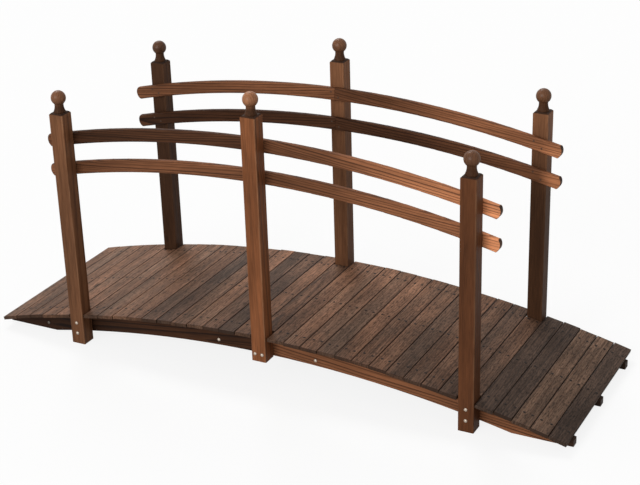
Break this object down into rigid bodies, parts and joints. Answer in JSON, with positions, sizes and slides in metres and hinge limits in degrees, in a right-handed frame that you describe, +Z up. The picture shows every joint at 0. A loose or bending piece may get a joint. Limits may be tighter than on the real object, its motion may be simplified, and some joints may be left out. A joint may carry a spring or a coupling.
{
  "type": "arched garden footbridge",
  "caption": "Arched wooden garden footbridge with a plank deck on three timber arches, square posts with ball finials and curved double rails along both sides.",
  "frame": {"origin": "ground level under the middle of the bridge", "axes": "+X along the bridge, +Y across it, away from the picture's near railing, +Z up"},
  "size_m": [2.21, 0.695, 1.0509],
  "materials": {
    "plank_wood": "stained fir, dry and matt",
    "arch_wood": "stained fir, scorched grain",
    "post_wood": "stained fir, satin",
    "rail_wood": "stained fir, satin",
    "bolt_zinc": "bright zinc",
    "nail_steel": "dull, darkened"
  },
  "bodies": {
    "root": {"near_arch": "arch_wood", "near_joining_board": "arch_wood", "middle_arch": "arch_wood", "middle_joining_board": "arch_wood", "far_arch": "arch_wood", "far_joining_board": "arch_wood", "deck_plank_01": "plank_wood", "deck_plank_02": "plank_wood", "deck_plank_03": "plank_wood", "deck_plank_04": "plank_wood", "deck_plank_05": "plank_wood", "deck_plank_06": "plank_wood", "deck_plank_07": "plank_wood", "deck_plank_08": "plank_wood", "deck_plank_09": "plank_wood", "deck_plank_10": "plank_wood", "deck_plank_11": "plank_wood", "deck_plank_12": "plank_wood", "deck_plank_13": "plank_wood", "deck_plank_14": "plank_wood", "deck_plank_15": "plank_wood", "deck_plank_16": "plank_wood", "deck_plank_17": "plank_wood", "deck_plank_18": "plank_wood", "deck_plank_19": "plank_wood", "deck_plank_20": "plank_wood", "deck_plank_21": "plank_wood", "deck_plank_22": "plank_wood", "deck_plank_23": "plank_wood", "deck_plank_24": "plank_wood", "deck_plank_25": "plank_wood", "deck_plank_26": "plank_wood", "deck_plank_27": "plank_wood", "deck_plank_28": "plank_wood", "deck_plank_29": "plank_wood", "deck_plank_30": "plank_wood", "deck_plank_31": "plank_wood", "deck_plank_32": "plank_wood", "deck_plank_33": "plank_wood", "deck_plank_34": "plank_wood", "deck_plank_35": "plank_wood", "near_left_post": "post_wood", "near_left_finial": "post_wood", "near_mid_post": "post_wood", "near_mid_finial": "post_wood", "near_right_post": "post_wood", "near_right_finial": "post_wood", "near_upper_rail": "rail_wood", "near_lower_rail": "rail_wood", "far_left_post": "post_wood", "far_left_finial": "post_wood", "far_mid_post": "post_wood", "far_mid_finial": "post_wood", "far_right_post": "post_wood", "far_right_finial": "post_wood", "far_upper_rail": "rail_wood", "far_lower_rail": "rail_wood"}
  },
  "joints": []
}
